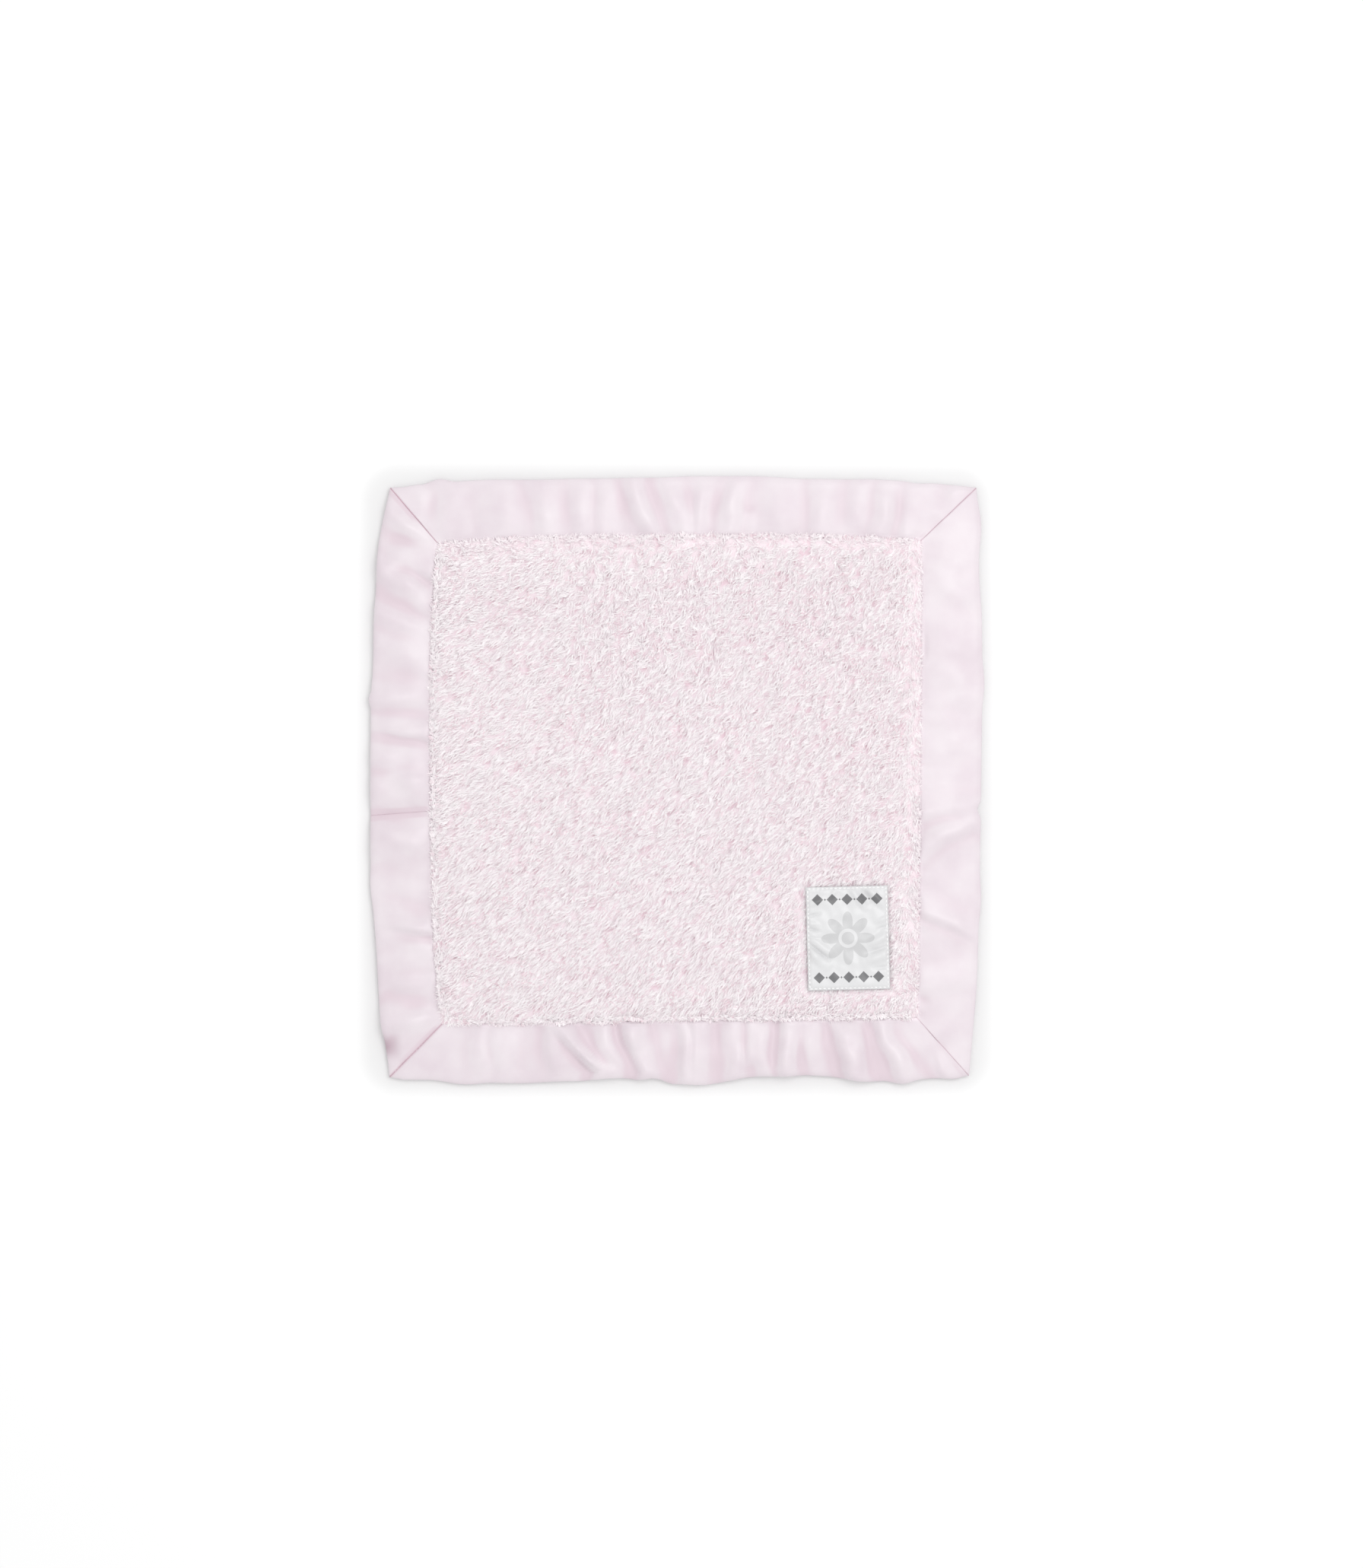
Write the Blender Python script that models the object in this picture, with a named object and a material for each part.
"""A square comfort blanket: two pile panels back to back in a folded satin border.

Metres, +Z up. The blanket lies flat on its back panel. The origin is on the surface that it
lies on, under its middle. +X is right and +Y is up for someone who looks down on its front.
"""

import math

import bmesh
import bpy
from mathutils import Vector

mm = 0.001

# Overall sizes
blanket_width = 355.6 * mm
blanket_length = 354 * mm
binding_width = 34 * mm
mitre_run = 32 * mm

# Layers, from the seam plane outwards
seam_height = 4.6 * mm
layer_gap = 0.3 * mm
ground_thickness = 0.8 * mm
front_pile = 6.2 * mm
front_crown = 0.8 * mm
back_pile = 4.4 * mm
satin_thickness = 0.4 * mm

# Hidden edges of the panels and of the satin
seam_allowance = 8 * mm
hem_turn = 6 * mm

# Stand of the border: its swell over the hem, its outer fold and its lift off the surface
border_swell = 0.9 * mm
outer_fold_height = 4.2 * mm
border_lift = 0.3 * mm
pucker_height = 2.4 * mm

# Label
label_width = 47.5 * mm
label_length = 60 * mm
label_thickness = 0.5 * mm
label_side_margin = 20.2 * mm
label_bottom_margin = 21.4 * mm
label_turn = math.radians(1.4)
label_stitch_inset = 1.2 * mm

# Threads
seam_thread_radius = 0.2 * mm
seam_thread_inset = 0.7 * mm
fold_thread_clearance = 3.5 * mm
label_thread_radius = 0.2 * mm

# How finely the cloth is divided
panel_half_steps = 10
binding_stations = 24
leg_front_steps = 4
leg_back_steps = 2
fold_steps = 4
label_columns = 5
label_rows = 6

# Corners of the outer edge, as shares of half the width and half the length.
# The mitres draw the corners in, and the sides bow out between them.
outer_corner_shares = {
    "top_left": (-0.936, 0.962),
    "top_right": (0.985, 0.962),
    "bottom_right": (0.960, -0.972),
    "bottom_left": (-0.938, -0.977),
}

# Each side runs clockwise from one corner to the next.
side_corners = {
    "top": ("top_left", "top_right"),
    "right": ("top_right", "bottom_right"),
    "bottom": ("bottom_right", "bottom_left"),
    "left": ("bottom_left", "top_left"),
}

# The direction that each side faces, as shares of X and Y.
outward_shares = {
    "top": (0, 1),
    "right": (1, 0),
    "bottom": (0, -1),
    "left": (-1, 0),
}

# Puckers of the front leg: place along the side, half width along it, height as a share
# of pucker_height, and how far the ridge leans along the side between seam and edge.
pucker_shares = {
    "top": (
        (0.24, 0.030, 0.55, 0.01),
        (0.42, 0.028, 1.00, 0.05),
        (0.60, 0.030, 0.60, -0.02),
        (0.74, 0.030, 0.50, 0.02),
        (0.86, 0.028, 0.50, 0.00),
    ),
    "right": (
        (0.31, 0.032, 0.35, 0.00),
        (0.60, 0.034, 0.60, -0.09),
        (0.76, 0.030, 0.40, 0.02),
    ),
    "bottom": (
        (0.14, 0.028, 0.60, 0.00),
        (0.26, 0.030, 1.00, -0.02),
        (0.37, 0.028, 0.70, -0.02),
        (0.48, 0.028, 0.60, 0.00),
        (0.59, 0.028, 0.90, -0.06),
        (0.70, 0.028, 0.80, -0.05),
        (0.84, 0.030, 0.50, 0.00),
    ),
    "left": (
        (0.13, 0.030, 0.60, 0.00),
        (0.27, 0.030, 0.45, 0.00),
        (0.48, 0.028, 1.00, 0.00),
        (0.60, 0.030, 0.45, 0.00),
        (0.78, 0.030, 0.60, 0.00),
        (0.90, 0.026, 0.50, 0.00),
    ),
}

# Dents of the outer edge: place along the side, half width along it, and depth as a share
# of the binding's width.
dent_shares = {
    "top": ((0.19, 0.05, 0.05), (0.41, 0.035, 0.04), (0.82, 0.07, 0.06)),
    "right": ((0.76, 0.08, 0.05),),
    "bottom": ((0.07, 0.03, 0.08), (0.29, 0.08, 0.16), (0.58, 0.05, 0.06)),
    "left": ((0.24, 0.06, 0.06), (0.42, 0.03, 0.03), (0.74, 0.05, 0.05)),
}

join_share = 0.444

# Heights that follow from the layers
front_ground_top = seam_height + layer_gap / 2 + ground_thickness
back_ground_bottom = seam_height - layer_gap / 2 - ground_thickness
hem_radius = (satin_thickness + layer_gap) / 2
front_hem_middle = front_ground_top + layer_gap + satin_thickness / 2 + hem_radius
back_hem_middle = back_ground_bottom - layer_gap - satin_thickness / 2 - hem_radius
front_leg_start = front_hem_middle + hem_radius
back_leg_start = back_hem_middle - hem_radius
outer_fold_radius = (outer_fold_height - satin_thickness) / 2
back_leg_low = border_lift + satin_thickness / 2
outer_fold_middle = back_leg_low + outer_fold_radius
front_leg_end = outer_fold_middle + outer_fold_radius

# The label keeps its margins to the right and the bottom seam
label_middle_x = blanket_width / 2 - binding_width - label_side_margin - label_width / 2
label_middle_y = binding_width + label_bottom_margin + label_length / 2 - blanket_length / 2


def remove_old_objects():
    for old in list(bpy.data.objects):
        bpy.data.objects.remove(old, do_unlink=True)


def make_material(name, colour, roughness):
    material = bpy.data.materials.new(name)
    material.use_nodes = True
    shader = material.node_tree.nodes["Principled BSDF"]
    shader.inputs["Base Color"].default_value = (*colour, 1)
    shader.inputs["Roughness"].default_value = roughness
    shader.inputs["Metallic"].default_value = 0
    return material


def finish_mesh(name, bm, material):
    """Turn a bmesh into a named, smoothly shaded object with one material."""
    mesh = bpy.data.meshes.new(name)
    bm.to_mesh(mesh)
    bm.free()
    mesh.shade_smooth()
    mesh.materials.append(material)
    piece = bpy.data.objects.new(name, mesh)
    bpy.context.scene.collection.objects.link(piece)
    return piece


def corner_point(name, inward):
    """A corner of the outer edge, moved inwards by the same amount along X and Y."""
    x_share, y_share = outer_corner_shares[name]
    x = x_share * blanket_width / 2 - math.copysign(inward, x_share)
    y = y_share * blanket_length / 2 - math.copysign(inward, y_share)
    return Vector((x, y))


def side_line(side, s, corner_inward, side_inward):
    """A point at share s of a side's bowed line, which lies inside the outer edge."""
    start_name, end_name = side_corners[side]
    outward = Vector(outward_shares[side])
    start = corner_point(start_name, corner_inward)
    end = corner_point(end_name, corner_inward)
    half_size = abs(outward.x) * blanket_width / 2 + abs(outward.y) * blanket_length / 2
    bow = half_size - side_inward - outward.dot(start.lerp(end, 0.5))
    return start.lerp(end, s) + outward * bow * (1 - abs(2 * s - 1) ** 3)


def bump(place, middle, half_width):
    """A smooth bump of height one: half as high at its half width, and zero at twice that."""
    reach = abs(place - middle) / (2 * half_width)
    return math.cos(math.pi / 2 * min(reach, 1)) ** 2


def edge_dent(side, s):
    return sum(depth * binding_width * bump(s, place, wide) for place, wide, depth in dent_shares[side])


def border_point(side, s, t):
    """A point of the border in plan: s along the side, t from the seam (0) to the edge (1)."""
    outward = Vector(outward_shares[side])
    seam = side_line(side, s, mitre_run, binding_width)
    edge = side_line(side, s, 0, 0) - outward * edge_dent(side, s)
    return seam.lerp(edge, t)


def pucker(side, s, t):
    """Height that the puckers add to the front leg."""
    fade = math.sin(math.pi * min(max(t, 0), 1))
    ridges = (
        share * bump(s, place + lean * t, wide) for place, wide, share, lean in pucker_shares[side]
    )
    return pucker_height * fade * sum(ridges)


def front_leg_height(side, s, t):
    """Middle of the satin's thickness on the front leg."""
    slope = front_leg_start + (front_leg_end - front_leg_start) * t
    return slope + border_swell * math.sin(math.pi * t) + pucker(side, s, t)


def back_leg_height(t):
    """Middle of the satin's thickness on the back leg, which rises only near the seam."""
    rise = max(1 - 2 * t, 0) ** 2
    return back_leg_low + (back_leg_start - back_leg_low) * rise


def satin_section(side, s):
    """The folded satin from its front hem, round the outer edge, to its back hem, as (t, z)."""
    hem_end = hem_turn / binding_width
    hem_bend = (hem_radius + satin_thickness / 2) / binding_width
    hem_nose = satin_thickness / 2 / binding_width
    edge_bend = 1 - (outer_fold_radius + satin_thickness / 2) / binding_width
    section = [
        (hem_end, front_hem_middle - hem_radius),
        (hem_bend, front_hem_middle - hem_radius),
        (hem_nose, front_hem_middle),
    ]
    for step in range(leg_front_steps):
        t = hem_bend + (edge_bend - hem_bend) * step / leg_front_steps
        section.append((t, front_leg_height(side, s, t)))
    for step in range(fold_steps + 1):
        angle = math.pi * (0.5 - step / fold_steps)
        t = edge_bend + outer_fold_radius * math.cos(angle) / binding_width
        section.append((t, outer_fold_middle + outer_fold_radius * math.sin(angle)))
    for step in range(1, leg_back_steps + 1):
        t = edge_bend + (hem_bend - edge_bend) * step / leg_back_steps
        section.append((t, back_leg_height(t)))
    section.append((hem_nose, back_hem_middle))
    section.append((hem_bend, back_hem_middle + hem_radius))
    section.append((hem_end, back_hem_middle + hem_radius))
    return section


def side_length(side):
    start_name, end_name = side_corners[side]
    return (corner_point(end_name, 0) - corner_point(start_name, 0)).length


def station(side, index):
    """Share along the side of one of its evenly spaced stations, clear of the mitres."""
    clearance = layer_gap / 2 / math.sin(math.pi / 4) / side_length(side)
    return clearance + (1 - 2 * clearance) * index / binding_stations


def stations_between(side, first, last):
    """The stations of a strip whose ends are at the shares first and last."""
    inner = [station(side, index) for index in range(binding_stations + 1)]
    half_step = 0.5 / binding_stations
    inner = [s for s in inner if first + half_step < s < last - half_step]
    return [first] + inner + [last]


def make_binding(name, side, first, last, material):
    """A satin strip: a flat grid folded round the edge, then given its thickness."""
    places = stations_between(side, first, last)
    across = len(satin_section(side, first)) - 1
    along = len(places) - 1
    bm = bmesh.new()
    bmesh.ops.create_grid(bm, x_segments=along, y_segments=across, size=1)
    for vert in bm.verts:
        column = round((vert.co.x + 1) / 2 * along)
        row = round((vert.co.y + 1) / 2 * across)
        s = places[column]
        t, z = satin_section(side, s)[row]
        plan = border_point(side, s, t)
        vert.co = (plan.x, plan.y, z)
    strip = finish_mesh(name, bm, material)
    thickness = strip.modifiers.new("Satin thickness", "SOLIDIFY")
    thickness.thickness = satin_thickness
    thickness.offset = 0
    thickness.use_even_offset = True
    return strip


def panel_point(a, b, outward):
    """A point of a panel in plan, with a and b from -1 to 1 between its bowed sides."""
    u = (a + 1) / 2
    v = (b + 1) / 2
    corner_inward = mitre_run - outward
    side_inward = binding_width - outward
    top = side_line("top", u, corner_inward, side_inward)
    bottom = side_line("bottom", 1 - u, corner_inward, side_inward)
    left = side_line("left", v, corner_inward, side_inward)
    right = side_line("right", 1 - v, corner_inward, side_inward)
    lower = corner_point("bottom_left", corner_inward).lerp(corner_point("bottom_right", corner_inward), u)
    upper = corner_point("top_left", corner_inward).lerp(corner_point("top_right", corner_inward), u)
    return bottom.lerp(top, v) + left.lerp(right, u) - lower.lerp(upper, v)


def pile_rise(a, b):
    """Share of the pile's height: none on the seam, steep sides, all of it a little way in."""
    rise_a = math.sqrt(max(1 - abs(a) ** 14, 0))
    rise_b = math.sqrt(max(1 - abs(b) ** 14, 0))
    return rise_a * rise_b


def front_height(a, b):
    crown = front_crown * (1 - a * a) * (1 - b * b)
    return front_ground_top + front_pile * pile_rise(a, b) + crown


def back_height(a, b):
    """Underside of the back pile, pressed flat where the blanket rests on it."""
    return max(back_ground_bottom - back_pile * pile_rise(a, b), 0)


def make_panel(name, ground_side, height_at, material):
    """A pad: the flat ground cloth is extruded, and the pile side takes its crown."""
    last = panel_half_steps + 1
    bm = bmesh.new()
    bmesh.ops.create_grid(bm, x_segments=2 * last, y_segments=2 * last, size=last)
    pile_faces = bmesh.ops.extrude_face_region(bm, geom=bm.faces[:])["geom"]
    pile_verts = {element for element in pile_faces if isinstance(element, bmesh.types.BMVert)}
    for vert in bm.verts:
        i = round(vert.co.x)
        j = round(vert.co.y)
        is_allowance = last in (abs(i), abs(j))
        a = math.sin(math.pi / 2 * max(min(i / panel_half_steps, 1), -1))
        b = math.sin(math.pi / 2 * max(min(j / panel_half_steps, 1), -1))
        plan = panel_point(a, b, -layer_gap)
        if is_allowance:
            plan = allowance_point(plan, i, j, last)
        z = ground_side
        if vert in pile_verts:
            z = height_at(a, b)
        vert.co = (plan.x, plan.y, z)
    bmesh.ops.recalc_face_normals(bm, faces=bm.faces[:])
    bmesh.ops.dissolve_limit(bm, angle_limit=math.radians(0.01), verts=bm.verts[:], edges=bm.edges[:])
    bmesh.ops.triangulate(bm, faces=bm.faces[:])
    return finish_mesh(name, bm, material)


def allowance_point(foot, i, j, last):
    """A point of the seam allowance's edge, straight out from the foot of the pile."""
    reach = seam_allowance + layer_gap
    x = foot.x + reach * (abs(i) == last) * math.copysign(1, i)
    y = foot.y + reach * (abs(j) == last) * math.copysign(1, j)
    return Vector((x, y))


def panel_shares_at(x, y):
    """The shares a and b whose panel point is at x and y, found by stepping closer."""
    reach_x = blanket_width / 2 - binding_width
    reach_y = blanket_length / 2 - binding_width
    a = x / reach_x
    b = y / reach_y
    for _ in range(8):
        found = panel_point(a, b, -layer_gap)
        a += (x - found.x) / reach_x
        b += (y - found.y) / reach_y
    return a, b


def label_point(across, along, lift):
    """A point of the label, from -1 to 1 each way, lifted off the front pile."""
    x = across * label_width / 2
    y = along * label_length / 2
    turned_x = label_middle_x + x * math.cos(label_turn) - y * math.sin(label_turn)
    turned_y = label_middle_y + x * math.sin(label_turn) + y * math.cos(label_turn)
    a, b = panel_shares_at(turned_x, turned_y)
    return Vector((turned_x, turned_y, front_height(a, b) + lift))


def make_label(name, material):
    bm = bmesh.new()
    bmesh.ops.create_grid(bm, x_segments=label_columns, y_segments=label_rows, size=1)
    for vert in bm.verts:
        vert.co = label_point(vert.co.x, vert.co.y, layer_gap + label_thickness / 2)
    label = finish_mesh(name, bm, material)
    thickness = label.modifiers.new("Label thickness", "SOLIDIFY")
    thickness.thickness = label_thickness
    thickness.offset = 0
    return label


def make_thread(name, points, radius, is_ring, material):
    """A thread as a thin tube through its points."""
    curve = bpy.data.curves.new(name, "CURVE")
    curve.dimensions = "3D"
    curve.bevel_depth = radius
    curve.bevel_resolution = 0
    curve.use_fill_caps = True
    spline = curve.splines.new("POLY")
    spline.points.add(len(points) - 1)
    for spot, place in zip(spline.points, points):
        spot.co = (*place, 1)
    spline.use_cyclic_u = is_ring
    curve.materials.append(material)
    thread = bpy.data.objects.new(name, curve)
    bpy.context.scene.collection.objects.link(thread)
    return thread


def seam_thread_points(is_front):
    """Round the border, on the hem close to the pile, through every station."""
    t = seam_thread_inset / binding_width
    lift = satin_thickness / 2 + layer_gap + seam_thread_radius
    points = []
    for side in side_corners:
        for index in range(binding_stations):
            s = station(side, index)
            plan = border_point(side, s, t)
            if is_front:
                z = front_leg_height(side, s, t) + lift
            else:
                z = back_leg_height(t) - lift
            points.append(Vector((plan.x, plan.y, z)))
    return points


def label_thread_points():
    """Round the label, a little inside its edge."""
    lift = layer_gap + label_thickness + layer_gap + label_thread_radius
    reach_x = 1 - 2 * label_stitch_inset / label_width
    reach_y = 1 - 2 * label_stitch_inset / label_length
    steps_x = [reach_x * (2 * index / label_columns - 1) for index in range(label_columns)]
    steps_y = [reach_y * (2 * index / label_rows - 1) for index in range(label_rows)]
    lower = [label_point(x, -reach_y, lift) for x in steps_x]
    right = [label_point(reach_x, y, lift) for y in steps_y]
    upper = [label_point(-x, reach_y, lift) for x in steps_x]
    left = [label_point(-reach_x, -y, lift) for y in steps_y]
    return lower + right + upper + left


def fold_thread_points(side, s):
    """Inside the fold, from the front leg round to the back leg, clear of the seam allowance."""
    inside = satin_thickness / 2 + layer_gap + seam_thread_radius
    radius = outer_fold_radius - inside
    edge_bend = 1 - (outer_fold_radius + satin_thickness / 2) / binding_width
    start = (seam_allowance + fold_thread_clearance) / mitre_run
    path = []
    for step in range(leg_front_steps + 1):
        t = start + (edge_bend - start) * step / leg_front_steps
        path.append((t, front_leg_height(side, s, t) - inside))
    for step in range(1, fold_steps):
        angle = math.pi * (0.5 - step / fold_steps)
        t = edge_bend + radius * math.cos(angle) / binding_width
        path.append((t, outer_fold_middle + radius * math.sin(angle)))
    for step in range(leg_front_steps + 1):
        t = edge_bend + (start - edge_bend) * step / leg_front_steps
        path.append((t, back_leg_height(t) + inside))
    plans = [border_point(side, s, t) for t, _ in path]
    return [Vector((plan.x, plan.y, z)) for plan, (_, z) in zip(plans, path)]


def build():
    remove_old_objects()
    pile = make_material("Pile", (0.86, 0.77, 0.81), 1)
    satin = make_material("Satin", (0.87, 0.77, 0.82), 0.35)
    label_satin = make_material("Label satin", (0.76, 0.76, 0.77), 0.4)
    thread = make_material("Thread", (0.86, 0.76, 0.81), 0.6)
    label_thread = make_material("Label thread", (0.85, 0.85, 0.86), 0.6)

    front_ground = seam_height + layer_gap / 2
    back_ground = seam_height - layer_gap / 2
    make_panel("front_pile_panel", front_ground, front_height, pile)
    make_panel("back_pile_panel", back_ground, back_height, pile)

    join_half_gap = layer_gap / 2 / side_length("left")
    for side in ("top", "right", "bottom"):
        ends = station(side, 0), station(side, binding_stations)
        make_binding("binding_" + side, side, *ends, satin)
    lower_ends = station("left", 0), join_share - join_half_gap
    upper_ends = join_share + join_half_gap, station("left", binding_stations)
    make_binding("binding_left_lower", "left", *lower_ends, satin)
    make_binding("binding_left_upper", "left", *upper_ends, satin)

    make_label("sewn_label", label_satin)
    make_thread("label_thread", label_thread_points(), label_thread_radius, True, label_thread)
    make_thread("front_seam_thread", seam_thread_points(True), seam_thread_radius, True, thread)
    make_thread("back_seam_thread", seam_thread_points(False), seam_thread_radius, True, thread)
    for side, (start_name, _) in side_corners.items():
        points = fold_thread_points(side, 0)
        make_thread("mitre_thread_" + start_name, points, seam_thread_radius, False, thread)
    make_thread("join_thread", fold_thread_points("left", join_share), seam_thread_radius, False, thread)


build()
